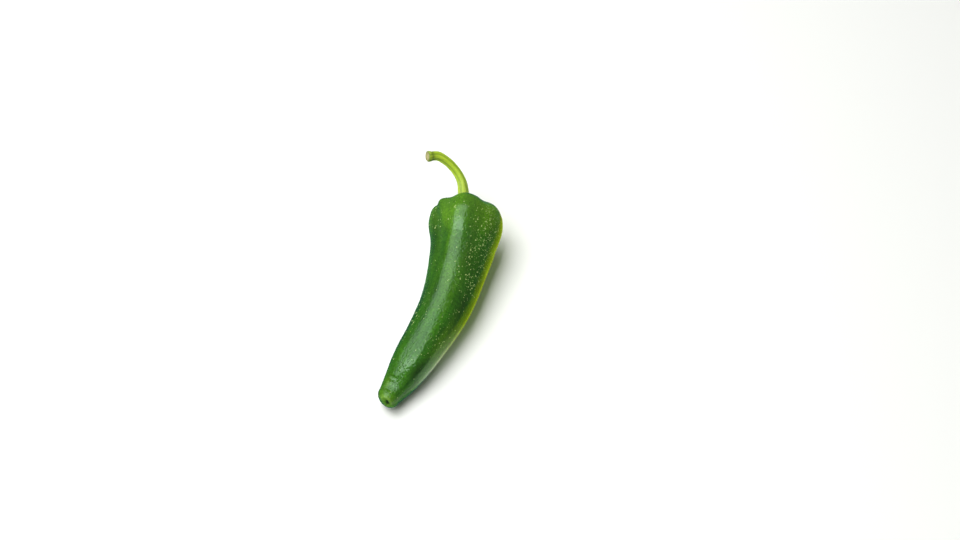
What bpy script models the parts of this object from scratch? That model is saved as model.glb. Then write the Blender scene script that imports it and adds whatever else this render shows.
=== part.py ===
"""Green chilli pepper with its calyx and stem, lying on its side, as picked.

Metres, +Z up. The length runs along Y, with the stem end at +Y and the tip at -Y,
and the underside lies on the plane Z = 0.
"""
from math import acos, atan2, cos, dist, exp, pi, radians, sin

import bmesh
import bpy
from mathutils import Vector

MM = 0.001
GAP = 0.3 * MM                      # clearance between touching pieces
STEEP_GAP = 0.7 * MM                # under the calyx, where the seat's wall is steep

# Driving dimensions of the pod
POD_LENGTH = 152.5 * MM             # shoulder crest to tip
SEAT_DEPTH = 6.0 * MM               # how far the stem seat is sunk behind the shoulders
CREST_RADIUS = 11.7 * MM            # ring of the shoulders that stands furthest out
SHOULDER_RADIUS = 23.8 * MM         # widest ring, where the round shoulders end
SHOULDER_DEPTH = 13.5 * MM
TIP_RADIUS = 7.4 * MM               # roundness of the blunt tip
TIP_LIFT = 2.2 * MM                 # the last part of the pod turns up by this much
TIP_LIFT_START = 0.84
SEAT_SHIFT = (-2.6 * MM, 1.6 * MM)  # the seat is off centre, sideways and up

# Sideways bow of the centre line: (share of the length from the crest, offset)
BOW = ((0.0, -0.6 * MM), (0.25, 4.9 * MM), (0.5, 6.2 * MM), (0.75, -0.4 * MM), (1.0, -9.8 * MM))

# Body radius: (share of the length from the crest, radius)
BODY = (
    (SHOULDER_DEPTH / POD_LENGTH, SHOULDER_RADIUS),
    (0.20, 21.35 * MM),
    (0.35, 18.5 * MM),
    (0.50, 16.55 * MM),
    (0.65, 14.6 * MM),
    (0.80, 12.4 * MM),
    (0.90, 9.35 * MM),
)
UNDERSIDE_START = 22.6 * MM         # centre height over the underside at the crest

# Furrows between the lobes: angle round the pod in degrees, depth at the shoulder (below
# zero for a ridge), share of the length where it has run out, how far it turns on the
# shoulder, and its width as a share of FURROW_WIDTH
FURROWS = (
    (124.0, 1.5 * MM, 0.36, 36.0, 0.45),
    (228.0, 2.2 * MM, 0.90, 0.0, 1.0),
    (338.0, 1.1 * MM, 0.80, 0.0, 1.0),
    (77.0, 0.8 * MM, 0.60, 0.0, 1.0),
    (190.0, 2.2 * MM, 0.60, 0.0, 1.0),
    (123.0, 1.7 * MM, 0.25, 0.0, 1.0),
    (176.0, -0.9 * MM, 0.22, 0.0, 0.8),
)
FURROW_WIDTH = ((0.0, 15.0), (0.1, 17.0), (0.5, 26.0), (1.0, 40.0))   # degrees
FURROW_FADE = ((0.0, 1.0), (0.06, 1.0), (0.3, 0.42), (0.6, 0.2))
FURROW_TWIST_END = 0.22

# Local swells: share of the length, its spread, angle in degrees, its spread, height
SWELLS = (
    (0.79, 0.12, 100.0, 34.0, -1.25 * MM),
    (0.74, 0.15, 46.0, 26.0, 1.2 * MM),
    (0.935, 0.05, 86.0, 45.0, -1.4 * MM),
    (0.05, 0.03, 146.0, 16.0, 1.2 * MM),
    (0.12, 0.05, 172.0, 20.0, 0.2 * MM),
    (0.04, 0.04, 56.0, 15.0, -2.4 * MM),
)
TIP_SHIFT = (3.6 * MM, 2.6 * MM)    # the tip's end lies beside the middle of its cap

# Calyx and stem
CALYX_RADIUS = 10.6 * MM
CALYX_TEETH = 5
TOOTH_LENGTH = 0.9 * MM
NECK_RADIUS = 4.0 * MM
NECK_HEIGHT = 8.5 * MM
NECK_LEAN = (-1.6 * MM, 1.2 * MM)   # the neck leans sideways and up
STEM_ROUTE = (                      # centre line from the neck to the cut end
    (-8.1 * MM, 88.6 * MM, 26.6 * MM),
    (-10.8 * MM, 94.2 * MM, 28.8 * MM),
    (-14.7 * MM, 98.0 * MM, 31.6 * MM),
    (-19.0 * MM, 100.2 * MM, 34.7 * MM),
    (-23.9 * MM, 101.1 * MM, 38.1 * MM),
    (-29.0 * MM, 100.6 * MM, 41.2 * MM),
    (-34.8 * MM, 96.4 * MM, 43.3 * MM),
)
STEM_RADII = (3.8 * MM, 3.5 * MM, 3.1 * MM, 2.85 * MM, 2.8 * MM, 2.8 * MM, 3.0 * MM, 3.6 * MM)

# Mesh resolution
POD_SIDES = 48
POD_RINGS = 52
CALYX_SIDES = 30
STEM_STEPS = 32


def smooth(rows, at):
    """Value at a position on a cubic curve through (position, value) rows."""
    at = min(max(at, rows[0][0]), rows[-1][0])
    last = len(rows) - 2
    k = min(sum(at >= row[0] for row in rows[1:]), last)
    slope = [(b[1] - a[1]) / (b[0] - a[0]) for a, b in zip(rows, rows[1:])]

    def tangent(i):
        if i == 0 or i == last + 1:
            return slope[min(i, last)]
        left = rows[i][0] - rows[i - 1][0]
        right = rows[i + 1][0] - rows[i][0]
        return (right * slope[i - 1] + left * slope[i]) / (left + right)

    step = rows[k + 1][0] - rows[k][0]
    u = (at - rows[k][0]) / step
    ends = (2 * u**3 - 3 * u**2 + 1) * rows[k][1] + (3 * u**2 - 2 * u**3) * rows[k + 1][1]
    bends = (u**3 - 2 * u**2 + u) * tangent(k) + (u**3 - u**2) * tangent(k + 1)
    return ends + step * bends


def linear(rows, at):
    """Value at a position on straight runs through (position, value) rows."""
    for (x0, y0), (x1, y1) in zip(rows, rows[1:]):
        if at <= x1:
            return y0 + (y1 - y0) * max(0.0, at - x0) / (x1 - x0)
    return rows[-1][1]


def running_length(points):
    """Distance from the first point to each point, along straight runs."""
    reach = [0.0]
    for here, there in zip(points, points[1:]):
        reach.append(reach[-1] + dist(here, there))
    return reach


def pod_outline():
    """(distance from the crest, radius) from the seat centre over the crest to the tip."""
    seat = [
        (SEAT_DEPTH, 0.0),
        (0.95 * SEAT_DEPTH, 0.4 * CREST_RADIUS),
        (0.53 * SEAT_DEPTH, 0.7 * CREST_RADIUS),
        (0.10 * SEAT_DEPTH, 0.88 * CREST_RADIUS),
    ]
    rise = SHOULDER_RADIUS - CREST_RADIUS
    shoulder = [
        (SHOULDER_DEPTH * (1 - cos(radians(a))), CREST_RADIUS + rise * sin(radians(a)))
        for a in (0, 25, 50, 72)
    ]
    body = [(share * POD_LENGTH, radius) for share, radius in BODY]
    cap = [
        (POD_LENGTH - TIP_RADIUS * (1 - sin(radians(a))), TIP_RADIUS * cos(radians(a)))
        for a in (0, 20, 45, 66, 80, 90)
    ]
    return seat + shoulder + body + cap


def centre_line(along):
    """Centre of the pod's section at a distance from the crest."""
    share = min(max(along / POD_LENGTH, 0.0), 1.0)
    bottom_radius = smooth(((0.0, UNDERSIDE_START),) + BODY + ((1.0, TIP_RADIUS),), share)
    lift = TIP_LIFT * max(0.0, (share - TIP_LIFT_START) / (1 - TIP_LIFT_START)) ** 2
    return Vector((smooth(BOW, share), POD_LENGTH / 2 - along, bottom_radius + lift))


def section_frame(along):
    """Centre, side, up and outward directions of the pod's section."""
    level = max(along, 8 * MM)
    toward_tip = (centre_line(level + MM) - centre_line(level - MM)).normalized()
    side = Vector((0, 0, 1)).cross(toward_tip).normalized()
    up = toward_tip.cross(side)
    return centre_line(along), side, up, -toward_tip


def furrow_depth(angle, share):
    """How far the furrows sink the skin at an angle round the pod."""
    width = radians(linear(FURROW_WIDTH, share))
    depth = 0.0
    for degrees_round, at_shoulder, run_out, twist, spread in FURROWS:
        turned = degrees_round + twist * max(0.0, 1 - share / FURROW_TWIST_END)
        away = (angle - radians(turned) + pi) % (2 * pi) - pi
        rows = [row for row in FURROW_FADE if row[0] < run_out] + [(run_out, 0.0)]
        fade = linear(rows, share)
        depth += at_shoulder * fade * exp(-((away / (spread * width)) ** 2))
    return depth


def swell(angle, share):
    """How far the local swells raise the skin."""
    height = 0.0
    for middle, reach, degrees_round, spread, rise in SWELLS:
        away = (angle - radians(degrees_round) + pi) % (2 * pi) - pi
        across = exp(-((away / radians(spread)) ** 2))
        height += rise * across * exp(-(((share - middle) / reach) ** 2))
    return height


def pod_point(along, radius, angle):
    """Point on the pod's skin."""
    share = min(max(along / POD_LENGTH, 0.0), 1.0)
    centre, side, up, outward = section_frame(along)
    full = 12 * MM if share < 0.3 else 8 * MM
    swollen = swell(angle, share)
    if share < 0.1:
        swollen *= min(max((radius - CREST_RADIUS) / (5 * MM), 0.0), 1.0)
    sunk = (furrow_depth(angle, share) - swollen) * min(1.0, radius / full)
    if share > 0.9:
        at_tip = max(0.0, 1 - radius / TIP_RADIUS)
        centre = centre + at_tip * (TIP_SHIFT[0] * side + TIP_SHIFT[1] * up)
    if share < 0.1:
        off_centre = max(0.0, 1 - radius / (1.3 * CREST_RADIUS))
        centre = centre + off_centre * (SEAT_SHIFT[0] * side + SEAT_SHIFT[1] * up)
        sink_back = 0.8 * sunk * max(0.0, 1 - along / (12 * MM))
        outer = min(max((radius - 6 * MM) / (8 * MM), 0.0), 1.0)
        centre = centre - outward * sink_back * outer
    return centre + (radius - sunk) * (cos(angle) * side + sin(angle) * up)


def seat_frame():
    """Seat centre with the side, up and outward directions that the calyx follows."""
    centre, side, up, outward = section_frame(SEAT_DEPTH)
    centre = centre + SEAT_SHIFT[0] * side + SEAT_SHIFT[1] * up
    return centre, side, up, outward


def lay_down(pieces):
    """Move the pieces together so that they stand on Z = 0, centred over the origin."""
    depsgraph = bpy.context.evaluated_depsgraph_get()
    points = []
    for piece in pieces:
        shape = piece.evaluated_get(depsgraph).to_mesh()
        points += [vert.co.copy() for vert in shape.vertices]
    low = Vector([min(point[axis] for point in points) for axis in range(3)])
    high = Vector([max(point[axis] for point in points) for axis in range(3)])
    middle = (low + high) / 2
    for piece in pieces:
        piece.location = (-middle.x, -middle.y, -low.z)


def globe(name, sides, rings, place, collection):
    """Closed body from a globe, whose points move to place(ring, angle)."""
    mesh = bpy.data.meshes.new(name)
    bm = bmesh.new()
    bmesh.ops.create_uvsphere(bm, u_segments=sides, v_segments=rings, radius=1)
    for vert in bm.verts:
        ring = acos(max(-1.0, min(1.0, vert.co.z))) / pi * rings
        vert.co = place(ring, -atan2(vert.co.y, vert.co.x))
    bm.to_mesh(mesh)
    bm.free()
    mesh.shade_smooth()
    body = bpy.data.objects.new(name, mesh)
    collection.objects.link(body)
    return body


def make_pod(collection):
    """Lobed, bowed pod with the stem seat sunk between its shoulders."""
    outline = pod_outline()
    reach = running_length(outline)
    along_rows = [(d, row[0]) for d, row in zip(reach, outline)]
    radius_rows = [(d, row[1]) for d, row in zip(reach, outline)]

    def place(ring, angle):
        distance = reach[-1] * ring / POD_RINGS
        radius = max(0.0, smooth(radius_rows, distance))
        return pod_point(smooth(along_rows, distance), radius, angle)

    pod = globe("pod", POD_SIDES, POD_RINGS, place, collection)
    pod.data.materials.append(material("pod_skin", (0.065, 0.200, 0.014), 0.25))
    return pod


def seat_level(radius):
    """Distance from the crest of the seat's skin at a radius."""
    rows = sorted((row[1], row[0]) for row in pod_outline()[:5])
    return smooth(rows, radius)


def calyx_rows():
    """(radius, rise over the seat's skin, tooth share) from the neck down to the seat."""
    return (
        (5.6 * MM, 3.4 * MM, 0.0),
        (7.6 * MM, 2.1 * MM, 0.3),
        (9.8 * MM, 1.6 * MM, 0.8),
        (CALYX_RADIUS, 1.0 * MM, 1.0),
        (9.8 * MM, STEEP_GAP, 0.7),
        (7.6 * MM, STEEP_GAP, 0.2),
        (4.5 * MM, GAP, 0.0),
        (0.0, GAP, 0.0),
    )


def neck_frame():
    """Top centre of the neck, with the side and up directions square to the stem."""
    centre, side, up, outward = seat_frame()
    top = centre + NECK_HEIGHT * outward + NECK_LEAN[0] * side + NECK_LEAN[1] * up
    along_stem = (Vector(STEM_ROUTE[0]) - top).normalized()
    side = along_stem.cross(Vector((0, 0, 1))).normalized()
    return top, side, side.cross(along_stem), along_stem


def make_calyx(collection):
    """Toothed cap that follows the seat, rising to the neck that carries the stem."""
    centre, side, up, outward = seat_frame()
    neck_top, neck_side, neck_up, along_stem = neck_frame()
    neck_foot = neck_top.lerp(centre, 0.3)
    rows = calyx_rows()
    neck_rings = 3

    def place(ring, angle):
        row = round(ring)
        around = cos(angle) * neck_side + sin(angle) * neck_up
        if row == 0:
            return neck_top
        if row == 1:
            return neck_top + NECK_RADIUS * around
        if row == 2:
            return neck_foot + 1.12 * NECK_RADIUS * around
        radius, rise, tooth = rows[row - neck_rings]
        radius += tooth * TOOTH_LENGTH * cos(CALYX_TEETH * angle)
        return pod_point(seat_level(radius), radius, angle) + outward * rise

    calyx = globe("calyx", CALYX_SIDES, len(rows) + neck_rings - 1, place, collection)
    calyx.data.materials.append(material("calyx_skin", (0.270, 0.400, 0.045), 0.5))
    return calyx


def stem_points():
    """(point, radius) along the stem, smooth between the points of its route."""
    neck_top, neck_side, neck_up, along_stem = neck_frame()
    route = [neck_top + GAP * along_stem] + [Vector(point) for point in STEM_ROUTE]
    reach = running_length(route)
    rows = [[(d, point[axis]) for d, point in zip(reach, route)] for axis in range(3)]
    radii = list(zip(reach, STEM_RADII))
    for i in range(STEM_STEPS + 1):
        at = reach[-1] * i / STEM_STEPS
        yield Vector([smooth(row, at) for row in rows]), smooth(radii, at)


def make_stem(collection):
    """Curved stem with a flat cut end."""
    curve = bpy.data.curves.new("stem", "CURVE")
    curve.dimensions = "3D"
    curve.bevel_depth = 1.0
    curve.bevel_resolution = 3
    curve.use_fill_caps = True
    spline = curve.splines.new("POLY")
    path = list(stem_points())
    spline.points.add(len(path) - 1)
    for point, (place, radius) in zip(spline.points, path):
        point.co = (*place, 1.0)
        point.radius = radius
    stem = bpy.data.objects.new("stem", curve)
    collection.objects.link(stem)
    curve.materials.append(material("stem_skin", (0.330, 0.500, 0.035), 0.55))
    return stem


def material(name, colour, roughness):
    """Principled material with a plain colour."""
    made = bpy.data.materials.new(name)
    made.use_nodes = True
    shader = made.node_tree.nodes["Principled BSDF"]
    shader.inputs["Base Color"].default_value = (*colour, 1.0)
    shader.inputs["Roughness"].default_value = roughness
    shader.inputs["Metallic"].default_value = 0.0
    made.diffuse_color = (*colour, 1.0)
    return made


def main():
    for old in list(bpy.data.objects):
        bpy.data.objects.remove(old, do_unlink=True)
    collection = bpy.data.collections.new("chilli_pepper")
    bpy.context.scene.collection.children.link(collection)
    pieces = (make_pod(collection), make_calyx(collection), make_stem(collection))
    lay_down(pieces)


main()
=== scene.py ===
"""Looks of the green chilli pepper: its skin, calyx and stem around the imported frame."""

from math import cos, pi, radians, sin

import bpy
import numpy as np
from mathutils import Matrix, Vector, noise


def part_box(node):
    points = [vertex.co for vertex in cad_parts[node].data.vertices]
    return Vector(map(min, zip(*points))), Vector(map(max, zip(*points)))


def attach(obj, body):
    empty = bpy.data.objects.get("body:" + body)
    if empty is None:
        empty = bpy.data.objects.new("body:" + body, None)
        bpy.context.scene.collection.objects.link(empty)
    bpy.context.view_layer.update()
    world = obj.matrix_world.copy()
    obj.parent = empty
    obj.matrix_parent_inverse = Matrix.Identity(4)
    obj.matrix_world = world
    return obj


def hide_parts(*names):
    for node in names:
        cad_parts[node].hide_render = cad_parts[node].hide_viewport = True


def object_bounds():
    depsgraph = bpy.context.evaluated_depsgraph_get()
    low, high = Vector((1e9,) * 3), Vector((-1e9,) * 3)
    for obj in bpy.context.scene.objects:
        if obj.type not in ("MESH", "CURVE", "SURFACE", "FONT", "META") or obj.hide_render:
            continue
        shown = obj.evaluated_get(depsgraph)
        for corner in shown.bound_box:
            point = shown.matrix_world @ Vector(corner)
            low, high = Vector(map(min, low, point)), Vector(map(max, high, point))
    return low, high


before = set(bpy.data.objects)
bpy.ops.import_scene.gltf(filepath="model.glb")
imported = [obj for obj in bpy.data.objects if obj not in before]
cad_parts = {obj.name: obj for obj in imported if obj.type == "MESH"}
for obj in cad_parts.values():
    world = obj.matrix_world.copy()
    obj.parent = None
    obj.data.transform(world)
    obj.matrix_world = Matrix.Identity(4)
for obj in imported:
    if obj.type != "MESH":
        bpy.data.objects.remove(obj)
cad_low, cad_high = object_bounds()

MM = 0.001
SEED = 7

# ---------------------------------------------------------------- driving dimensions
# The pod's own shape, as the solid frame has it
POD_LENGTH = 152.5 * MM
SEAT_DEPTH = 6.0 * MM
CREST_RADIUS = 11.7 * MM            # ring of the shoulders that stands furthest out
SHOULDER_RADIUS = 23.8 * MM         # widest ring
SHOULDER_DEPTH = 13.5 * MM
TIP_RADIUS = 7.4 * MM
TIP_LIFT = 2.2 * MM
TIP_LIFT_START = 0.84
SEAT_SHIFT = (-2.6 * MM, 1.6 * MM)
# Sideways bow of the centre line: share of the length from the crest, offset
BOW = ((0.0, -0.6 * MM), (0.25, 4.9 * MM), (0.5, 6.2 * MM), (0.75, -0.4 * MM), (1.0, -9.8 * MM))
# Radius of the body: share of the length from the crest, radius
BODY = (
    (SHOULDER_DEPTH / POD_LENGTH, SHOULDER_RADIUS),
    (0.20, 21.35 * MM),
    (0.35, 18.5 * MM),
    (0.50, 16.55 * MM),
    (0.65, 14.6 * MM),
    (0.80, 12.4 * MM),
    (0.90, 9.35 * MM),
)
UNDERSIDE_START = 22.6 * MM         # height of the centre line at the crest
# Furrows and swells reach their full depth where the radius is at least this
FULL_AT_SHOULDER = 12 * MM
FULL_AT_BODY = 8 * MM
SWELL_RUN_IN = 5 * MM               # swells grow over this distance outside the crest
CREST_DIP_LENGTH = 12 * MM          # furrows also notch the crest over this length
CREST_DIP_INNER = 6 * MM
CREST_DIP_WIDTH = 8 * MM
CREST_DIP = 0.8
# Furrows: angle in degrees, depth at the shoulder (below zero for a ridge), share of the
# length where it ends, twist towards the stem in degrees, width as a share of FURROW_WIDTH
FURROWS = (
    (124.0, 1.5 * MM, 0.36, 36.0, 0.45),
    (228.0, 2.2 * MM, 0.90, 0.0, 1.0),
    (338.0, 1.1 * MM, 0.80, 0.0, 1.0),
    (77.0, 0.8 * MM, 0.60, 0.0, 1.0),
    (190.0, 2.2 * MM, 0.60, 0.0, 1.0),
    (123.0, 1.7 * MM, 0.25, 0.0, 1.0),
    (176.0, -0.9 * MM, 0.22, 0.0, 0.8),
)
FURROW_WIDTH = ((0.0, 15.0), (0.1, 17.0), (0.5, 26.0), (1.0, 40.0))
FURROW_FADE = ((0.0, 1.0), (0.06, 1.0), (0.3, 0.42), (0.6, 0.2))
FURROW_TWIST_END = 0.22
# Local swells: share of the length, its spread, angle in degrees, its spread, height
SWELLS = (
    (0.79, 0.12, 100.0, 34.0, -1.25 * MM),
    (0.74, 0.15, 46.0, 26.0, 1.2 * MM),
    (0.935, 0.05, 86.0, 45.0, -1.4 * MM),
    (0.05, 0.03, 146.0, 16.0, 1.2 * MM),
    (0.12, 0.05, 172.0, 20.0, 0.2 * MM),
    (0.04, 0.04, 56.0, 15.0, -2.4 * MM),
)
# Darker patches, partly painted shade beside the highlight and next to the floor's reflection,
# partly darker blotches of the skin: share of the length, its spread, angle, its spread, strength
SHADE_AND_DARK_PATCHES = (
    (0.22, 0.22, 70.0, 14.0, 0.62),
    (0.25, 0.16, 140.0, 12.0, 0.35),
    (0.52, 0.10, 38.0, 10.0, 0.60),
    (0.62, 0.08, 28.0, 9.0, 0.45),
    (0.83, 0.045, 44.0, 15.0, 0.85),
    (0.15, 0.15, 150.0, 8.0, 0.30),
)
# Warmer, yellower patches of skin, in the same terms
WARM_PATCHES = (
    (0.09, 0.06, 40.0, 20.0, 0.55),
    (0.14, 0.07, 122.0, 12.0, 0.45),
    (0.66, 0.10, 38.0, 10.0, 0.45),
    (0.93, 0.03, 120.0, 18.0, 0.40),
)
TIP_SHIFT = (3.6 * MM, 2.6 * MM)    # the tip's end lies beside the middle of the cap
# Short crosswise creases before the tip: share of the length, angle, its spread, depth
TIP_CREASES = (
    (0.895, 118.0, 20.0, 0.34 * MM),
    (0.918, 122.0, 16.0, 0.26 * MM),
    (0.872, 60.0, 14.0, 0.14 * MM),
)

# Calyx and stem
# Calyx profile from the neck over the rim to the underside:
# step, radius and rise over the skin in mm, share of the tooth, share of the neck
CALYX_ROWS = (
    (0.0, 3.9, 0.0, 0.0, 1.00),
    (1.0, 4.15, 0.0, 0.0, 0.72),
    (2.0, 4.7, 0.0, 0.0, 0.40),
    (3.0, 5.7, 3.1, 0.0, 0.12),
    (4.0, 7.2, 2.1, 0.15, 0.0),
    (5.0, 8.8, 1.55, 0.5, 0.0),
    (6.0, 10.2, 1.15, 0.9, 0.0),
    (6.6, 10.7, 0.85, 1.0, 0.0),
    (6.9, 10.75, 0.55, 1.0, 0.0),
    (7.3, 10.4, 0.32, 0.95, 0.0),
    (8.0, 8.8, 0.25, 0.5, 0.0),
    (9.0, 6.0, 0.25, 0.0, 0.0),
    (10.0, 1.0, 0.25, 0.0, 0.0),
)
CALYX_RINGS = 121
SEAT_ROWS = 9                       # rows of the pod's outline from the seat to the shoulder
CALYX_TEETH = 5
TOOTH_REACH = 2.3                   # mm from the deepest notch to the longest tooth
CALYX_RIB = 0.45                    # mm
RIM_STEP = 6.9                      # step of the rim's outermost edge
NECK_HEIGHT = 8.5 * MM
NECK_LEAN = (-1.6 * MM, 1.2 * MM)
STEM_ROUTE = (
    (-8.1 * MM, 88.6 * MM, 26.6 * MM),
    (-10.8 * MM, 94.2 * MM, 28.8 * MM),
    (-14.7 * MM, 98.0 * MM, 31.6 * MM),
    (-19.0 * MM, 100.2 * MM, 34.7 * MM),
    (-23.9 * MM, 101.1 * MM, 38.1 * MM),
    (-29.0 * MM, 100.6 * MM, 41.2 * MM),
    (-34.8 * MM, 96.4 * MM, 43.3 * MM),
)
RIBS = 5
STEM_TWIST = 12.0                   # radians a metre
CUT_RINGS = (0.93, 0.86, 0.78, 0.68, 0.56, 0.42, 0.28, 0.14)    # shares of the cut's radius
STEM_RADII = (3.9 * MM, 3.5 * MM, 3.1 * MM, 2.85 * MM, 2.8 * MM, 2.8 * MM, 2.95 * MM, 3.5 * MM)

# Mesh resolution
POD_SIDES = 440
POD_RINGS = 449
CALYX_SIDES = 240
STEM_SIDES = 96
STEM_RINGS = 260

UP = np.array((0.0, 0.0, 1.0))


# ---------------------------------------------------------------- curves and noise
def smooth(rows, at):
    """Values at positions on a cubic curve through (position, value) rows."""
    x, y = np.array(rows, float).T
    slope = np.diff(y) / np.diff(x)
    gap = np.diff(x)
    tangent = np.empty(len(x))
    tangent[1:-1] = (gap[1:] * slope[:-1] + gap[:-1] * slope[1:]) / (gap[:-1] + gap[1:])
    tangent[0], tangent[-1] = slope[0], slope[-1]
    at = np.clip(at, x[0], x[-1])
    k = np.clip(np.searchsorted(x, at) - 1, 0, len(x) - 2)
    u = (at - x[k]) / gap[k]
    ends = (2 * u**3 - 3 * u**2 + 1) * y[k] + (3 * u**2 - 2 * u**3) * y[k + 1]
    bends = (u**3 - 2 * u**2 + u) * tangent[k] + (u**3 - u**2) * tangent[k + 1]
    return ends + gap[k] * bends


def linear(rows, at):
    """Values at positions on straight runs through (position, value) rows."""
    x, y = np.array(rows, float).T
    return np.interp(at, x, y)


def running_length(points):
    """Distance from the first point to each point, along straight runs."""
    steps = np.linalg.norm(np.diff(np.array(points, float), axis=0), axis=1)
    return np.concatenate(([0.0], np.cumsum(steps)))


def unit(vectors):
    """Vectors of the same direction and length 1."""
    return vectors / np.linalg.norm(vectors, axis=-1, keepdims=True)


def around(angle_from, angle_to):
    """Signed angle from one direction to another, within half a turn."""
    return (angle_to - angle_from + pi) % (2 * pi) - pi


def bell(offset, width):
    """Soft bump, 1 in the middle and near 0 at twice the width."""
    return np.exp(-((offset / width) ** 2))


def wander(points, size, salt=0.0):
    """Smooth noise, -1 to 1, with lumps of a given size."""
    shift = Vector((salt, 0.37 * salt, -0.61 * salt))
    flat = np.asarray(points, float).reshape(-1, 3) / size
    values = [noise.noise(Vector(p) + shift) for p in flat]
    return np.array(values).reshape(np.asarray(points).shape[:-1])


# ---------------------------------------------------------------- the pod's form
def pod_outline():
    """(distance from the crest, radius) from the seat centre over the crest to the tip."""
    seat = [
        (SEAT_DEPTH, 0.0),
        (0.95 * SEAT_DEPTH, 0.4 * CREST_RADIUS),
        (0.53 * SEAT_DEPTH, 0.7 * CREST_RADIUS),
        (0.10 * SEAT_DEPTH, 0.88 * CREST_RADIUS),
    ]
    rise = SHOULDER_RADIUS - CREST_RADIUS
    shoulder = [
        (SHOULDER_DEPTH * (1 - cos(radians(a))), CREST_RADIUS + rise * sin(radians(a)))
        for a in (0, 25, 50, 72)
    ]
    body = [(share * POD_LENGTH, radius) for share, radius in BODY]
    cap = [
        (POD_LENGTH - TIP_RADIUS * (1 - sin(radians(a))), TIP_RADIUS * cos(radians(a)))
        for a in (0, 20, 45, 66, 80, 90)
    ]
    return seat + shoulder + body + cap


def centre_line(along):
    """Centres of the pod's sections at distances from the crest."""
    along = np.asarray(along, float)
    share = np.clip(along / POD_LENGTH, 0, 1)
    rows = ((0.0, UNDERSIDE_START),) + BODY + ((1.0, TIP_RADIUS),)
    lift = TIP_LIFT * np.clip((share - TIP_LIFT_START) / (1 - TIP_LIFT_START), 0, None) ** 2
    return np.stack((smooth(BOW, share), POD_LENGTH / 2 - along, smooth(rows, share) + lift), -1)


def section_frame(along):
    """Centre, side, up and outward directions of the pod's sections."""
    level = np.maximum(along, 8 * MM)
    toward_tip = unit(centre_line(level + MM) - centre_line(level - MM))
    side = unit(np.cross(UP, toward_tip))
    up = np.cross(toward_tip, side)
    return centre_line(along), side, up, -toward_tip


def furrow_depth(angle, share):
    """How far the furrows sink the skin at angles round the pod."""
    width = np.radians(linear(FURROW_WIDTH, share))
    depth = np.zeros(np.broadcast(angle, share).shape)
    for degrees_round, at_shoulder, run_out, twist, spread in FURROWS:
        turned = degrees_round + twist * np.clip(1 - share / FURROW_TWIST_END, 0, None)
        rows = [row for row in FURROW_FADE if row[0] < run_out] + [(run_out, 0.0)]
        fade = linear(rows, share)
        across = bell(around(np.radians(turned), angle), spread * width)
        depth = depth + at_shoulder * fade * across
    return depth


def patches(rows, share, angle):
    """Sum of soft patches: share of the length, its spread, angle, its spread, amount."""
    total = np.zeros(np.broadcast(angle, share).shape)
    for middle, reach, degrees_round, spread, amount in rows:
        across = bell(around(radians(degrees_round), angle), radians(spread))
        total = total + amount * across * bell(share - middle, reach)
    return total


def pod_points(along, radius, angle):
    """Points on the pod's skin."""
    share = np.clip(along / POD_LENGTH, 0, 1)
    centre, side, up, outward = section_frame(along)
    full = np.where(share < 0.3, FULL_AT_SHOULDER, FULL_AT_BODY)
    past_crest = np.clip((radius - CREST_RADIUS) / SWELL_RUN_IN, 0, 1)
    swollen = patches(SWELLS, share, angle) * np.where(share < 0.1, past_crest, 1.0)
    sunk = (furrow_depth(angle, share) - swollen) * np.minimum(1.0, radius / full)
    off_centre = np.clip(1 - radius / (1.3 * CREST_RADIUS), 0, None) * (share < 0.1)
    centre = centre + off_centre[..., None] * (SEAT_SHIFT[0] * side + SEAT_SHIFT[1] * up)
    at_tip = np.clip(1 - radius / TIP_RADIUS, 0, None) * (share > 0.9)
    centre = centre + at_tip[..., None] * (TIP_SHIFT[0] * side + TIP_SHIFT[1] * up)
    sink_back = CREST_DIP * sunk * np.clip(1 - along / CREST_DIP_LENGTH, 0, None)
    outer = np.clip((radius - CREST_DIP_INNER) / CREST_DIP_WIDTH, 0, 1)
    centre = centre - outward * (sink_back * outer)[..., None]
    turn = np.cos(angle)[..., None] * side + np.sin(angle)[..., None] * up
    return centre + (radius - sunk)[..., None] * turn


def outline_rows():
    """(distance, along) and (distance, radius) rows along the pod's outline."""
    outline = pod_outline()
    reach = running_length(outline)
    along = [(d, row[0]) for d, row in zip(reach, outline)]
    radius = [(d, row[1]) for d, row in zip(reach, outline)]
    return along, radius, reach[-1]


def pod_grid(rings, sides):
    """Along, radius, angle and outline distance of the pod's grid, one row a ring."""
    along_rows, radius_rows, total = outline_rows()
    distance = total * (np.arange(rings) + 1) / (rings + 1)
    along = smooth(along_rows, distance)[:, None]
    radius = np.maximum(smooth(radius_rows, distance), 0.0)[:, None]
    angle = (np.arange(sides) * 2 * pi / sides)[None, :]
    full = np.ones((rings, sides))
    return along * full, radius * full, angle * full, distance[:, None] * full


# ---------------------------------------------------------------- meshes
def grid_normals(points):
    """Outward directions of a grid of rings that runs round and along a body."""
    across = np.roll(points, -1, 1) - np.roll(points, 1, 1)
    down = np.gradient(points, axis=0)
    return unit(np.cross(across, down))


def closed_grid(name, points, first, last):
    """Smooth closed body from rings of points and its two end points, with a UV map."""
    rings, sides = points.shape[:2]
    verts = np.concatenate((points.reshape(-1, 3), [first, last]))
    ring, side = np.meshgrid(np.arange(rings - 1), np.arange(sides), indexing="ij")
    nxt = (side + 1) % sides
    quads = np.stack((ring * sides + side, ring * sides + nxt,
                      (ring + 1) * sides + nxt, (ring + 1) * sides + side), -1)
    j = np.arange(sides)
    k = (j + 1) % sides
    start, end = rings * sides, rings * sides + 1
    base = (rings - 1) * sides
    fans = np.concatenate((np.stack((j * 0 + start, k, j), -1),
                           np.stack((j * 0 + end, base + j, base + k), -1)))
    mesh = bpy.data.meshes.new(name)
    mesh.from_pydata(verts, [], quads.reshape(-1, 4).tolist() + fans.tolist())
    add_grid_uvs(mesh, rings, sides)
    mesh.shade_smooth()
    piece = bpy.data.objects.new(name, mesh)
    bpy.context.scene.collection.objects.link(piece)
    return piece


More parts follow.
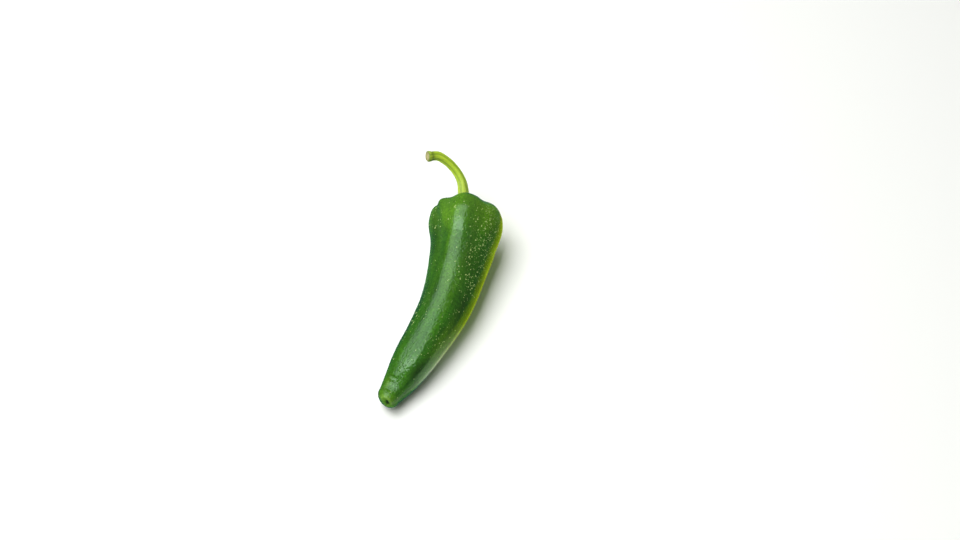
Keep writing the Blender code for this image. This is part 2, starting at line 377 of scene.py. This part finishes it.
def add_grid_uvs(mesh, rings, sides):
    """Unrolls the rings side by side into one map."""
    vertex = np.empty(len(mesh.loops), int)
    mesh.loops.foreach_get("vertex_index", vertex)
    low = np.arange(sides) / sides
    quad_u = np.stack((low, low + 1 / sides, low + 1 / sides, low), -1)
    quad_u = np.broadcast_to(quad_u, (rings - 1, sides, 4)).reshape(-1)
    middle = low + 0.5 / sides
    first_u = np.stack((middle, low + 1 / sides, low), -1).reshape(-1)
    last_u = np.stack((middle, low, low + 1 / sides), -1).reshape(-1)
    u = np.concatenate((quad_u, first_u, last_u))
    v = np.where(vertex < rings * sides, (vertex // sides + 1) / (rings + 1), 0.0)
    v = np.where(vertex == rings * sides + 1, 1.0, v)
    layer = mesh.uv_layers.new(name="OFBake")
    layer.uv.foreach_set("vector", np.stack((u, v), -1).astype(np.float32).reshape(-1))


def add_values(piece, name, values, at_first, at_last):
    """Number or vector at every point of a grid body, for its material."""
    values = np.asarray(values, float)
    kind = "FLOAT_VECTOR" if values.ndim == 3 else "FLOAT"
    flat = values.reshape(-1, 3) if values.ndim == 3 else values.reshape(-1)
    ends = np.array([at_first, at_last], float)
    field = "vector" if values.ndim == 3 else "value"
    layer = piece.data.attributes.new(name, kind, "POINT")
    data = np.concatenate((flat, ends)).astype(np.float32)
    layer.data.foreach_set(field, data.reshape(-1))


# ---------------------------------------------------------------- pod
SPECK_COUNT = 20000
PORE_COUNT = 6000
SPECK_REACH = 4                     # grid steps that a speck may cover each way
SEAT_RINGS = 60                     # rings of the seat and crest, which carry no dots
# Where the specks crowd: share of the length, its spread, angle, its spread, density
SPECK_CROWDS = (
    (0.12, 0.10, 42.0, 24.0, 1.0),
    (0.28, 0.12, 40.0, 26.0, 0.70),
    (0.42, 0.10, 50.0, 22.0, 0.30),
    (0.60, 0.10, 140.0, 22.0, 0.40),
    (0.66, 0.08, 45.0, 18.0, 0.22),
    (0.10, 0.08, 168.0, 16.0, 0.90),
    (0.08, 0.06, 110.0, 18.0, 0.30),
    (0.30, 0.20, 250.0, 60.0, 0.15),
)


def scatter(rng, count, density):
    """Random (share, angle) places, thinned out by a density from 0 to 1."""
    share = rng.uniform(0.015, 0.985, count)
    angle = rng.uniform(0, 2 * pi, count)
    keep = rng.uniform(0, 1, count) < density(share, angle)
    return share[keep], angle[keep]


def speck_density(share, angle):
    """Specks crowd in a few places and are sparse elsewhere."""
    return np.clip(0.02 + patches(SPECK_CROWDS, share, angle), 0, 1)


def pore_density(share, angle):
    """Pores are spread evenly, a little thinner towards the tip."""
    return linear(((0.0, 0.9), (0.6, 0.8), (1.0, 0.5)), share)


def dots(places, size, strength, along, angle, radius):
    """Mask of round dots on the pod's grid, 1 at the middle of each dot."""
    rings, sides = along.shape
    share, turn = places
    mask = np.zeros(along.shape)
    near_ring = np.searchsorted(along[SEAT_RINGS:, 0], share * POD_LENGTH) + SEAT_RINGS
    near_ring = np.clip(near_ring, 0, rings - 1)
    near_side = np.round(turn / (2 * pi) * sides).astype(int)
    for d_ring in range(-SPECK_REACH, SPECK_REACH + 1):
        for d_side in range(-SPECK_REACH, SPECK_REACH + 1):
            ring = np.clip(near_ring + d_ring, 0, rings - 1)
            side = (near_side + d_side) % sides
            down = along[ring, 0] - share * POD_LENGTH
            across = around(turn, angle[0, side]) * radius[ring, 0]
            np.maximum.at(mask, (ring, side), strength * bell(np.hypot(down, across), size))
    return mask


def make_pod():
    """The glossy, furrowed, specked pod with its scar; gives the move that placed it."""
    rng = np.random.default_rng(SEED)
    along, radius, angle, distance = pod_grid(POD_RINGS, POD_SIDES)
    total = outline_rows()[2]
    share = np.clip(along / POD_LENGTH, 0, 1)
    points = pod_points(along, radius, angle)
    normals = grid_normals(points)

    girth = 17 * MM
    grain = np.stack((girth * np.cos(angle), girth * np.sin(angle), 0.14 * distance), -1)
    lump = 0.30 * MM * wander(points, 24 * MM, 1.0) + 0.10 * MM * wander(points, 9 * MM, 2.0)
    fade = linear(((0.0, 0.5), (0.2, 1.0), (1.0, 0.8)), share)
    flutes = 0.09 * MM * wander(grain, 4.5 * MM, 3.0) * fade

    specks_at = scatter(rng, SPECK_COUNT, speck_density)
    speck_size = (0.20 + 0.22 * rng.uniform(0, 1, len(specks_at[0])) ** 5) * MM
    strength = 0.30 + 0.70 * rng.uniform(0, 1, len(specks_at[0])) ** 2
    specks = dots(specks_at, speck_size, strength, along, angle, radius)
    pores_at = scatter(rng, PORE_COUNT, pore_density)
    pore_size = rng.uniform(0.26, 0.38, len(pores_at[0])) * MM
    pores = dots(pores_at, pore_size, 1.0, along, angle, radius)

    from_tip = total - distance
    scar, pit, pale = tip_scar(from_tip, angle)
    creases = tip_creases(along, angle)
    puckers = 0.16 * MM * np.cos(11 * angle) * bell(distance - 9 * MM, 4 * MM)
    height = lump + flutes + 0.10 * MM * specks - 0.17 * MM * pores + scar + creases + puckers
    points = points + normals * height[..., None]

    place = cad_place(points, "pod")
    points = points + place
    first = points[0].mean(0)
    last = points[-1].mean(0)
    pod = closed_grid("pepper_pod", points, first, last)
    add_values(pod, "grain", grain, grain[0].mean(0), grain[-1].mean(0))
    add_values(pod, "share", share, 0.0, 1.0)
    add_values(pod, "speck", specks, 0.0, 0.0)
    # Pore mask, which the skin reads for painted shade in the pits
    add_values(pod, "pore_shade", pores, 0.0, 0.0)
    add_values(pod, "scar", pit, 0.0, 1.0)
    # Painted highlight on the rim above the scar, and a pale dot below it
    add_values(pod, "pale", pale, 0.0, 0.0)
    # Furrow depth, which the skin reads for painted shade in the furrows
    add_values(pod, "furrow_shade", furrow_depth(angle, share) / (2 * MM), 0.0, 0.0)
    # Painted shade beside the highlight and darker blotches of the skin
    add_values(pod, "dark", patches(SHADE_AND_DARK_PATCHES, share, angle), 0.0, 0.0)
    add_values(pod, "warm", patches(WARM_PATCHES, share, angle), 0.0, 0.0)
    pod.data.materials.append(pod_skin())
    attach(pod, "root")
    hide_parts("pod")
    return place


def tip_scar(from_tip, angle):
    """Height and darkness of the blossom scar, an upright slit with a raised rim, and a painted
    highlight on the rim above it with a pale dot on the bead below.
    """
    across = from_tip * np.cos(angle)
    upward = from_tip * np.sin(angle) - 1.0 * MM
    slit = bell(across - 0.15 * upward, 1.1 * MM) * bell(upward, 2.6 * MM)
    ring = np.hypot(across, 0.8 * upward)
    above = np.clip(0.45 + 0.55 * upward / (3 * MM), 0, 1)
    rim = 0.60 * MM * above * bell(ring - 3.2 * MM, 1.0 * MM)
    bead = 0.25 * MM * bell(np.hypot(across, upward + 2.9 * MM), 0.8 * MM)
    pucker = 0.10 * MM * np.cos(7 * angle + 0.6) * bell(from_tip - 2.2 * MM, 0.9 * MM)
    # Painted highlight on the raised rim above the slit, and a pale dot on the bead below it
    dot = bell(np.hypot(across, upward + 2.9 * MM), 0.7 * MM)
    pale = above * bell(ring - 3.6 * MM, 1.3 * MM) + dot
    height = -0.35 * MM * bell(ring, 2.0 * MM) - 1.8 * MM * slit + rim + bead + pucker
    return height, np.clip(slit * 1.6, 0, 1), np.clip(pale, 0, 1)


def tip_creases(along, angle):
    """Short crosswise creases in the skin a little before the tip."""
    height = np.zeros(along.shape)
    for share, turn, spread, depth in TIP_CREASES:
        aside = around(radians(turn), angle)
        across = bell(along - share * POD_LENGTH - 3 * MM * aside**2, 0.9 * MM)
        height -= depth * across * bell(aside, radians(spread))
    return height


def cad_place(points, node):
    """Move that puts a body where the solid of the frame has it."""
    low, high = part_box(node)
    middle = (np.array(low) + np.array(high)) / 2
    own = (points.reshape(-1, 3).min(0) + points.reshape(-1, 3).max(0)) / 2
    move = middle - own
    move[2] = low.z - points[..., 2].min()
    return move


# ---------------------------------------------------------------- calyx and stem
def seat_frame():
    """Seat centre with the side, up and outward directions that the calyx follows."""
    centre, side, up, outward = section_frame(np.array(SEAT_DEPTH))
    return centre + SEAT_SHIFT[0] * side + SEAT_SHIFT[1] * up, side, up, outward


def neck_frame():
    """Top centre of the neck, with the side and up directions square to the stem."""
    centre, side, up, outward = seat_frame()
    top = centre + NECK_HEIGHT * outward + NECK_LEAN[0] * side + NECK_LEAN[1] * up
    along_stem = unit(np.array(STEM_ROUTE[0]) - top)
    side = unit(np.cross(along_stem, UP))
    return top, side, np.cross(side, along_stem), along_stem


def calyx_edge(angle, phase):
    """Tooth height round the calyx, 0 in the notches and 1 on the tooth tips."""
    uneven = 0.7 * np.sin(angle + phase) + 0.4 * np.sin(2 * angle)
    wave = 0.5 + 0.5 * np.cos(CALYX_TEETH * angle + uneven)
    ragged = 0.10 * np.sin(17 * angle + 1.3) + 0.07 * np.sin(29 * angle)
    return wave**1.4 + ragged * (0.3 + wave)


def make_calyx(place):
    """Ribbed green cap with a ragged toothed rim, lying in the seat and rising to the neck."""
    steps = np.linspace(0, CALYX_ROWS[-1][0], CALYX_RINGS)
    radius, rise, tooth, neck = (
        smooth([(row[0], row[k]) for row in CALYX_ROWS], steps) for k in (1, 2, 3, 4)
    )
    angle = (np.arange(CALYX_SIDES) * 2 * pi / CALYX_SIDES)[None, :]
    edge = calyx_edge(angle, 0.8)
    full = np.ones((len(steps), CALYX_SIDES))
    reach = (radius[:, None] + TOOTH_REACH * tooth[:, None] * (edge - 0.5)) * MM * full
    on_top = np.clip((RIM_STEP - steps) / 0.6, 0, 1)[:, None]
    crests = np.cos(2 * CALYX_TEETH * angle + 0.3 * np.sin(3 * angle))
    rib = CALYX_RIB * crests * bell(steps[:, None] - 3.6, 2.0)
    lift = 0.45 * (1 - edge) * np.clip(steps[:, None] - 4.5, 0, 2) / 2
    seat_rows = sorted((row[1], row[0]) for row in pod_outline()[:SEAT_ROWS])
    level = smooth(seat_rows, reach)
    seat, side, up, outward = seat_frame()
    skin = pod_points(level, reach, angle * full)
    height = (rise[:, None] + on_top * rib + lift) * MM
    cap = skin + outward * height[..., None]

    top, neck_side, neck_up, along_stem = neck_frame()
    turn = np.cos(angle)[..., None] * neck_side + np.sin(angle)[..., None] * neck_up
    foot = seat + 3.2 * MM * outward
    centre = foot + (top - foot) * np.clip(neck, 0, 1)[:, None]
    flute = 1 + 0.05 * np.cos(CALYX_TEETH * angle)
    tube = centre[:, None, :] + (radius[:, None] * MM * flute)[..., None] * turn
    blend = np.clip(neck / 0.4, 0, 1)
    blend = (blend * blend * (3 - 2 * blend))[:, None, None]
    points = cap * (1 - blend) + tube * blend + place
    roughen = 0.10 * MM * wander(points, 1.6 * MM, 9.0)
    points = points + grid_normals(points) * (roughen * on_top)[..., None]

    calyx = closed_grid("pepper_calyx", points, points[0].mean(0), points[-1].mean(0))
    girth = 9 * MM * full
    grain = np.stack((np.cos(angle) * girth, np.sin(angle) * girth, 0.3 * reach), -1)
    add_values(calyx, "grain", grain, grain[0].mean(0), grain[-1].mean(0))
    # Rim mask, for the darker rim, partly painted shade where the teeth lie on the pod
    rim = np.clip((reach / MM - 8.0) / 4.0, 0, 1) * full
    add_values(calyx, "rim", rim, 0.0, 0.0)
    calyx.data.materials.append(calyx_skin())
    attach(calyx, "root")
    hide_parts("calyx")


def stem_path(rings):
    """Centres, directions, frames and radii along the stem from the neck to the cut."""
    top, side, up, along_stem = neck_frame()
    route = np.array([top] + [np.array(p) for p in STEM_ROUTE])
    reach = running_length(route)
    at = np.linspace(0, reach[-1], rings)
    centre = np.stack([smooth(list(zip(reach, route[:, k])), at) for k in range(3)], -1)
    forward = unit(np.gradient(centre, axis=0))
    sides = np.empty_like(centre)
    for i in range(rings):
        side = unit(side - forward[i] * side.dot(forward[i]))
        sides[i] = side
    ups = np.cross(sides, forward)
    return at, centre, forward, sides, ups, smooth(list(zip(reach, STEM_RADII)), at)


def stem_size(at, length, radius):
    """Radius along the stem with its flared foot, narrow collar and rounded lip."""
    to_end = length - at
    flare = 0.35 * MM * bell(at, 3.0 * MM)
    neck_in = -0.20 * MM * bell(to_end - 3.4 * MM, 1.1 * MM)
    lip = 0.16 * MM * bell(to_end - 1.4 * MM, 0.9 * MM)
    round_off = -0.35 * MM * bell(to_end, 0.28 * MM)
    return radius + flare + neck_in + lip + round_off


def stem_surface(at, centre, side, up, size, angle, twist):
    """Ribbed, slightly rough and knobbly skin of the stem, one row a ring."""
    spin = angle - twist
    fade = np.clip((at[-1] - at[:, None]) / (2.5 * MM), 0.35, 1)
    ribs = fade * (0.055 * np.cos(RIBS * spin) + 0.02 * np.cos(12 * spin + 1))
    length_wise = 0.15 * at[:, None] * np.ones_like(angle)
    unrolled = np.stack((4 * MM * np.cos(spin), 4 * MM * np.sin(spin), length_wise), -1)
    rough = 0.07 * MM * wander(unrolled, 1.2 * MM, 5.0)
    turn = np.cos(angle)[..., None] * side[:, None, :] + np.sin(angle)[..., None] * up[:, None, :]
    knobs = 0.06 * MM * wander(centre[:, None, :] + size[..., None] * turn, 3.0 * MM, 6.0)
    reach = size * (1 + ribs) + rough + knobs
    return centre[:, None, :] + reach[..., None] * turn


def stem_end(middle, edge, forward):
    """Dished, uneven rings of the cut face inside the stem's last ring."""
    shares = np.array(CUT_RINGS)
    face = middle + shares[:, None, None] * (edge - middle)[None]
    dish = -0.30 * MM * (1 - shares**2) + 0.10 * MM * bell(shares - 0.86, 0.07)
    uneven = 0.12 * MM * wander(face, 1.1 * MM, 8.0)
    return face + (dish[:, None] + uneven)[..., None] * forward


def make_stem(place):
    """Ribbed, gently twisted stalk with a beige cut face at its free end."""
    at, centre, forward, side, up, radius = stem_path(STEM_RINGS)
    length = at[-1]
    angle = (np.arange(STEM_SIDES) * 2 * pi / STEM_SIDES)[None, :]
    size = stem_size(at, length, radius)[:, None]
    twist = at[:, None] * STEM_TWIST
    skin = stem_surface(at, centre, side, up, size, angle, twist)

    start = centre[0] - 1.2 * MM * forward[0]
    root = start + 0.9 * (skin[0] - centre[0])
    face = stem_end(centre[-1], skin[-1], forward[-1])
    points = np.concatenate((root[None], skin, face)) + place
    stem = closed_grid("pepper_stem", points, start + place, points[-1].mean(0))
    add_stem_values(stem, at, angle, twist)
    stem.data.materials.append(stem_skin())
    stem.data.materials.append(stem_cut())
    material = np.zeros(len(stem.data.polygons), int)
    material[STEM_RINGS * STEM_SIDES: (len(points) - 1) * STEM_SIDES] = 1
    material[-STEM_SIDES:] = 1
    stem.data.polygons.foreach_set("material_index", material)
    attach(stem, "root")
    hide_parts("stem")


def add_stem_values(stem, at, angle, twist):
    """What the stem's materials read: fibres, place along, place out and ribs, the last for
    painted shade between the ribs.
    """
    length = at[-1]
    every = np.ones_like(angle)
    cut = np.full(len(CUT_RINGS), length)
    along = np.concatenate(([0.0], at, cut))[:, None] * every
    out = np.concatenate(([1.0], np.ones(len(at)), CUT_RINGS))[:, None] * every
    turned = np.concatenate(([0.0], twist[:, 0], np.full(len(CUT_RINGS), twist[-1, 0])))
    spin = angle - turned[:, None]
    girth = 3 * MM * out
    grain = np.stack((girth * np.cos(spin), girth * np.sin(spin), 0.12 * along), -1)
    add_values(stem, "grain", grain, (0, 0, 0), (0, 0, 0.12 * length))
    add_values(stem, "along", along / length, 0.0, 1.0)
    add_values(stem, "out", out, 0.0, 0.0)
    add_values(stem, "rib", 0.5 + 0.5 * np.cos(RIBS * spin), 0.5, 0.5)


# ---------------------------------------------------------------- materials
class Graph:
    """Short way to add and link nodes of one material."""

    def __init__(self, name):
        self.material = bpy.data.materials.new(name)
        self.material.use_nodes = True
        self.tree = self.material.node_tree
        self.shader = self.tree.nodes["Principled BSDF"]

    def node(self, kind, **settings):
        """New node, with its inputs and settings given by name."""
        made = self.tree.nodes.new(kind)
        for key, value in settings.items():
            if key in made.inputs:
                self.put(made.inputs[key], value)
            else:
                setattr(made, key, value)
        return made

    def put(self, socket, value):
        """Link or value for one input."""
        if isinstance(value, bpy.types.NodeSocket):
            self.tree.links.new(value, socket)
        else:
            socket.default_value = value

    def attribute(self, name):
        """Number that the mesh carries at each point."""
        return self.node("ShaderNodeAttribute", attribute_name=name).outputs["Fac"]

    def grain(self):
        """Place on the unrolled skin, drawn out along the piece."""
        return self.node("ShaderNodeAttribute", attribute_name="grain").outputs["Vector"]

    def place(self):
        """Place in the piece's own space."""
        return self.node("ShaderNodeTexCoord").outputs["Object"]

    def noise(self, vector, size, detail=2.0, roughness=0.5):
        """Noise with lumps of a given size, 0 to 1."""
        made = self.node("ShaderNodeTexNoise", Vector=vector, Scale=1 / size, Detail=detail)
        self.put(made.inputs["Roughness"], roughness)
        return made.outputs["Fac"]

    def ramp(self, value, *stops):
        """Value turned into another by straight runs through (position, result) stops."""
        made = self.node("ShaderNodeValToRGB", Fac=value)
        points = made.color_ramp.elements
        while len(points) < len(stops):
            points.new(0.5)
        for point, (position, result) in zip(points, stops):
            point.position = position
            colour = result if isinstance(result, tuple) else (result,) * 3
            point.color = (*colour, 1.0)
        return made.outputs["Color"]

    def mix(self, factor, a, b, blend="MIX"):
        """Colour a turned towards colour b."""
        made = self.node("ShaderNodeMix", data_type="RGBA", blend_type=blend)
        self.put(made.inputs[0], factor)
        self.put(made.inputs[6], a if isinstance(a, bpy.types.NodeSocket) else (*a, 1.0))
        self.put(made.inputs[7], b if isinstance(b, bpy.types.NodeSocket) else (*b, 1.0))
        return made.outputs[2]

    def maths(self, operation, a, b=0.5, clamp=False):
        made = self.node("ShaderNodeMath", operation=operation, use_clamp=clamp)
        self.put(made.inputs[0], a)
        self.put(made.inputs[1], b)
        return made.outputs[0]

    def bump(self, height, distance, strength=1.0, normal=None):
        made = self.node("ShaderNodeBump", Height=height, Distance=distance, Strength=strength)
        if normal is not None:
            self.put(made.inputs["Normal"], normal)
        return made.outputs["Normal"]

    def finish(self, **inputs):
        """The material, with the shader's inputs given by name."""
        for key, value in inputs.items():
            name = key.replace("_", " ")
            if isinstance(value, tuple) and len(value) == 3:
                value = (*value, 1.0)
            self.put(self.shader.inputs[name], value)
        return self.material


def pod_skin():
    """Waxy green skin with soft streaks, pale specks and a dark blossom scar, with painted shade
    in the furrows, in the pores and beside the highlight, and a painted highlight above the scar.
    """
    g = Graph("pod_skin")
    grain = g.grain()
    share = g.attribute("share")
    place = g.place()
    streak = g.noise(grain, 8.0 * MM, 2.0, 0.5)
    broad = g.noise(place, 26 * MM, 2.0)
    fine = g.noise(grain, 1.6 * MM, 3.0, 0.6)
    green = g.ramp(
        streak,
        (0.32, (0.018, 0.076, 0.006)),
        (0.50, (0.033, 0.122, 0.006)),
        (0.68, (0.060, 0.176, 0.006)),
    )
    green = g.mix(1.0, green, g.ramp(broad, (0.35, 0.84), (0.62, 1.12)), "MULTIPLY")
    lengthwise = g.ramp(
        share,
        (0.0, 1.45),
        (0.10, 1.15),
        (0.45, 1.05),
        (0.62, (0.72, 0.88, 0.95)),
        (0.85, (0.66, 0.84, 0.95)),
        (1.0, 1.0),
    )
    green = g.mix(1.0, green, lengthwise, "MULTIPLY")
    yellow = g.ramp(share, (0.0, 0.85), (0.07, 0.45), (0.20, 0.0), (0.95, 0.0), (1.0, 0.4))
    yellow = g.maths("ADD", yellow, g.attribute("warm"), True)
    yellow = g.maths("MULTIPLY", yellow, g.ramp(broad, (0.3, 0.5), (0.7, 1.0)))
    green = g.mix(yellow, green, (0.150, 0.330, 0.008))
    green = g.mix(g.ramp(fine, (0.40, 0.0), (0.80, 0.16)), green, (0.100, 0.260, 0.022))
    mottle = g.noise(place, 1.3 * MM, 3.0, 0.7)
    green = g.mix(1.0, green, g.ramp(mottle, (0.34, 0.70), (0.50, 1.0), (0.68, 1.30)), "MULTIPLY")
    # Painted shade in the furrows, tinted teal as a painted reflection of the cool surroundings
    furrow_shade = g.maths("MULTIPLY", g.attribute("furrow_shade"), 0.35, True)
    green = g.mix(furrow_shade, green, (0.012, 0.075, 0.030))
    # Painted shade beside the highlight and next to the floor's reflection, mixed with darker
    # blotches, broken up by the fine noise
    ragged = g.ramp(fine, (0.3, 0.7), (0.7, 1.0))
    dark = g.maths("MULTIPLY", g.attribute("dark"), ragged, True)
    green = g.mix(dark, green, (0.014, 0.034, 0.006))
    speck = g.attribute("speck")
    green = g.mix(g.ramp(speck, (0.15, 0.0), (0.50, 0.95)), green, (0.480, 0.620, 0.220))
    # Painted shade in the pits of the pores
    pore_shade = g.attribute("pore_shade")
    green = g.mix(g.ramp(pore_shade, (0.3, 0.0), (0.9, 0.55)), green, (0.014, 0.055, 0.006))
    # Painted highlight on the raised rim above the scar, and a pale dot on the bead below it
    pale = g.maths("MULTIPLY", g.attribute("pale"), 0.40)
    green = g.mix(pale, green, (0.230, 0.400, 0.070))
    scar = g.attribute("scar")
    green = g.mix(g.ramp(scar, (0.25, 0.0), (0.8, 0.92)), green, (0.010, 0.018, 0.004))
    rough = g.ramp(fine, (0.3, 0.15), (0.7, 0.22))
    peel = g.bump(g.noise(place, 0.9 * MM, 2.0), 0.025 * MM, 0.5)
    normal = g.bump(fine, 0.05 * MM, 0.6, peel)
    wax = (0.72, 1.0, 0.76)
    return g.finish(Base_Color=green, Roughness=rough, Normal=normal, Specular_Tint=wax)


def calyx_skin():
    """Satin yellow-green, darker and browner towards the ragged rim, partly painted shade where
    the rim lies on the pod.
    """
    g = Graph("calyx_skin")
    grain = g.grain()
    streak = g.noise(grain, 1.6 * MM, 3.0, 0.6)
    green = g.ramp(streak, (0.3, (0.260, 0.400, 0.024)), (0.7, (0.480, 0.610, 0.090)))
    # Darker, browner rim, partly painted shade where the teeth lie on the pod
    rim = g.attribute("rim")
    green = g.mix(g.ramp(rim, (0.55, 0.0), (1.0, 0.70)), green, (0.150, 0.210, 0.020))
    place = g.place()
    fleck = g.ramp(g.noise(place, 0.7 * MM, 2.0), (0.62, 0.0), (0.72, 0.5))
    green = g.mix(fleck, green, (0.480, 0.620, 0.180))
    normal = g.bump(streak, 0.12 * MM, 0.8)
    return g.finish(Base_Color=green, Roughness=0.48, Normal=normal)


def stem_skin():
    """Yellow-green ribs and fibres with painted shade between the ribs, pale flecks near the pod,
    painted shade in the narrowing before the lip and a dark ring at the cut.
    """
    g = Graph("stem_skin")
    grain = g.grain()
    along = g.attribute("along")
    fibre = g.noise(grain, 0.55 * MM, 3.0, 0.6)
    green = g.ramp(fibre, (0.3, (0.340, 0.510, 0.016)), (0.7, (0.510, 0.660, 0.050)))
    low = g.ramp(along, (0.0, 0.9), (0.35, 0.45), (0.6, 0.0))
    green = g.mix(low, green, (0.370, 0.500, 0.050))
    # Painted shade in the grooves between the ribs
    rib = g.attribute("rib")
    green = g.mix(g.ramp(rib, (0.0, 0.60), (0.5, 0.0)), green, (0.130, 0.250, 0.012))
    place = g.place()
    fleck = g.ramp(g.noise(place, 0.55 * MM, 2.0), (0.60, 0.0), (0.68, 0.7))
    green = g.mix(g.maths("MULTIPLY", fleck, low), green, (0.640, 0.740, 0.300))
    # Painted shade in the narrowing before the lip, and a dark ring at the cut's edge
    collar = g.ramp(along, (0.90, 0.0), (0.94, 0.75), (0.975, 0.3), (1.0, 0.7))
    green = g.mix(collar, green, (0.100, 0.170, 0.014))
    normal = g.bump(fibre, 0.10 * MM, 0.8)
    return g.finish(Base_Color=green, Roughness=0.5, Normal=normal)


def stem_cut():
    """Beige fibrous cut face with a browner rim and a paler pith."""
    g = Graph("stem_cut")
    grain = g.grain()
    out = g.attribute("out")
    fibre = g.noise(grain, 0.35 * MM, 2.0, 0.6)
    beige = g.ramp(
        out,
        (0.0, (0.560, 0.520, 0.270)),
        (0.45, (0.480, 0.440, 0.190)),
        (0.72, (0.400, 0.380, 0.150)),
        (1.0, (0.210, 0.200, 0.050)),
    )
    beige = g.mix(g.ramp(fibre, (0.35, 0.5), (0.65, 0.0)), beige, (0.280, 0.250, 0.100))
    normal = g.bump(fibre, 0.15 * MM, 0.9)
    return g.finish(Base_Color=beige, Roughness=0.75, Normal=normal)


# ---------------------------------------------------------------- stage, light, camera
VIEW_AZIMUTH = 17.0
VIEW_ELEVATION = 52.0
VIEW_DISTANCE = 1.0
TARGET_HEIGHT = 18.0 * MM           # the camera is aimed this far above the pod's middle
LENS = 60.0
LENS_SHIFT = (0.0466, 0.0354)       # the pepper lies a little left of and below the middle
LIGHT_HEIGHT = 1.6
# World colours by height, from -1 straight down to 1 straight up, scaled to 0 to 1
WORLD_RAMP = (
    (0.15, (0.04, 0.20, 0.18)),
    (0.50, (0.02, 0.10, 0.11)),
    (0.68, (0.17, 0.18, 0.14)),
)
CARD_REACH = 80 * MM
CARD_OVERLAP = 15 * MM              # how far the card runs in under the pod's side


def make_floor():
    """White table that the glossy skin doesn't mirror."""
    bpy.ops.mesh.primitive_plane_add(size=8.0, location=(0, 0, cad_low.z))
    floor = bpy.context.object
    floor.name = "floor"
    g = Graph("floor_white")
    floor.data.materials.append(g.finish(Base_Color=(0.93, 0.93, 0.93), Roughness=0.9))
    floor.visible_glossy = False


def make_glow_card():
    """Card flat on the table that only shows as a soft reflection in the skin."""
    low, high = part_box("pod")
    bpy.ops.mesh.primitive_plane_add(size=1.0)
    card = bpy.context.object
    card.name = "glow_card"
    middle_x = high.x - CARD_OVERLAP + CARD_REACH / 2
    card.location = (middle_x, (low.y + high.y) / 2, cad_low.z + MM)
    card.scale = (CARD_REACH, high.y - low.y + 80 * MM, 1.0)
    g = Graph("glow_card")
    generated = g.node("ShaderNodeTexCoord").outputs["Generated"]
    split = g.node("ShaderNodeSeparateXYZ", Vector=generated)
    glow = g.ramp(
        split.outputs["Y"],
        (0.30, (1.15, 1.25, 1.00)),
        (0.50, (0.72, 0.95, 0.02)),
        (0.90, (0.70, 0.85, 0.01)),
    )
    black = (0.0, 0.0, 0.0)
    glowing = g.finish(Base_Color=black, Emission_Color=glow, Emission_Strength=1.0)
    card.data.materials.append(glowing)
    card.visible_camera = False
    card.visible_diffuse = False
    card.visible_shadow = False


def ceiling_light(name, span_x, span_y, radiance):
    """Level soft box over the pepper; its edges are given as shares of its height."""
    middle = (np.array(cad_low) + np.array(cad_high)) / 2
    light = bpy.data.lights.new(name, "AREA")
    light.shape = "RECTANGLE"
    light.size = (span_x[1] - span_x[0]) * LIGHT_HEIGHT
    light.size_y = (span_y[1] - span_y[0]) * LIGHT_HEIGHT
    light.energy = radiance * pi * light.size * light.size_y
    lamp = bpy.data.objects.new(name, light)
    across = (span_x[0] + span_x[1]) / 2
    along = (span_y[0] + span_y[1]) / 2
    lamp.location = middle + LIGHT_HEIGHT * np.array((across, along, 1.0))
    lamp.visible_camera = False
    bpy.context.scene.collection.objects.link(lamp)
    return lamp


def make_world():
    """Dim surroundings: bluish green below the horizon and pale above it."""
    world = bpy.data.worlds.new("studio")
    bpy.context.scene.world = world
    world.use_nodes = True
    tree = world.node_tree
    direction = tree.nodes.new("ShaderNodeTexCoord").outputs["Generated"]
    split = tree.nodes.new("ShaderNodeSeparateXYZ")
    tree.links.new(direction, split.inputs[0])
    height = tree.nodes.new("ShaderNodeMapRange")
    tree.links.new(split.outputs["Z"], height.inputs["Value"])
    height.inputs["From Min"].default_value = -1.0
    fade = tree.nodes.new("ShaderNodeValToRGB")
    tree.links.new(height.outputs["Result"], fade.inputs["Fac"])
    stops = fade.color_ramp.elements
    stops.new(WORLD_RAMP[-1][0])
    for stop, (position, colour) in zip(stops, WORLD_RAMP):
        stop.position = position
        stop.color = (*colour, 1.0)
    tree.links.new(fade.outputs["Color"], tree.nodes["Background"].inputs["Color"])


def make_lights():
    """Soft box overhead in parts of different strength, which draws the long highlight."""
    ceiling_light("key_back", (-0.80, 0.03), (0.05, 0.72), 3.0)
    ceiling_light("key_front", (-0.80, 0.03), (-0.26, 0.05), 6.8)
    ceiling_light("key_edge", (-1.10, -0.80), (-0.26, 0.72), 2.0)
    fill = ceiling_light("fill", (-0.80, 0.03), (-1.15, -0.26), 4.6)
    fill.visible_glossy = False


def make_camera(place):
    """Camera at the photograph's angle, aimed at the middle of the pod."""
    azimuth, elevation = radians(VIEW_AZIMUTH), radians(VIEW_ELEVATION)
    back = Vector((sin(azimuth) * cos(elevation), -cos(azimuth) * cos(elevation), sin(elevation)))
    target = Vector(place) + Vector((0.0, 0.0, TARGET_HEIGHT))
    camera = bpy.data.cameras.new("camera")
    camera.lens = LENS
    camera.sensor_width = 36.0
    camera.shift_x, camera.shift_y = LENS_SHIFT
    camera.clip_end = 50.0
    eye = bpy.data.objects.new("camera", camera)
    eye.location = target + back * VIEW_DISTANCE
    eye.rotation_euler = back.to_track_quat("Z", "Y").to_euler()
    bpy.context.scene.collection.objects.link(eye)
    bpy.context.scene.camera = eye


pod_place = make_pod()
make_calyx(pod_place)
make_stem(pod_place)
make_floor()
make_glow_card()
make_world()
make_lights()
make_camera(pod_place)
bpy.context.scene.view_settings.view_transform = "Standard"
